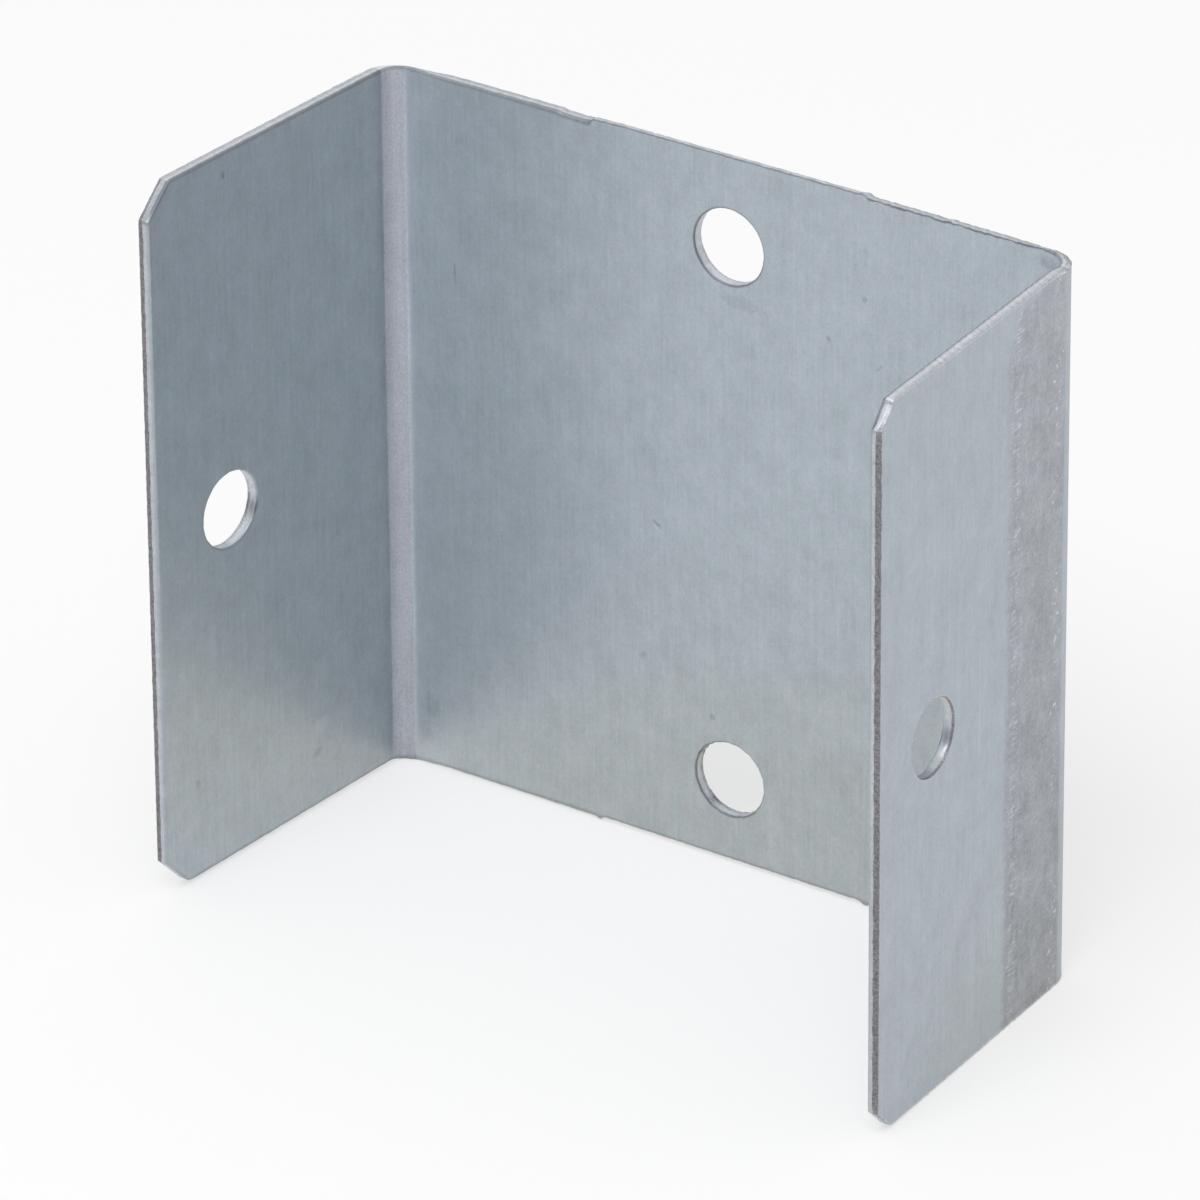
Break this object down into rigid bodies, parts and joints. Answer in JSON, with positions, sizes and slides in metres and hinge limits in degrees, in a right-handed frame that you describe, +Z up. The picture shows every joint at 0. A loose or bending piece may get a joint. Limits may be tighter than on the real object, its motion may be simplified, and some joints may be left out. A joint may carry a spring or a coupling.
{
  "type": "fence panel bracket",
  "caption": "U-shaped folded steel bracket that screws to a post through its web and holds the edge of a fence panel between its flanges.",
  "frame": {"origin": "middle of the flat back face that goes against the post: halfway across the web and halfway up it", "axes": "+Z up along the folds, +X to the right as seen from the open side, the open side faces -Y and the back face looks along +Y"},
  "size_m": [0.0556, 0.0249, 0.05],
  "materials": {
    "galvanised_steel": "pre-galvanised sheet, satin, minimised spangle"
  },
  "bodies": {
    "root": {"bracket": "galvanised_steel"}
  },
  "joints": []
}
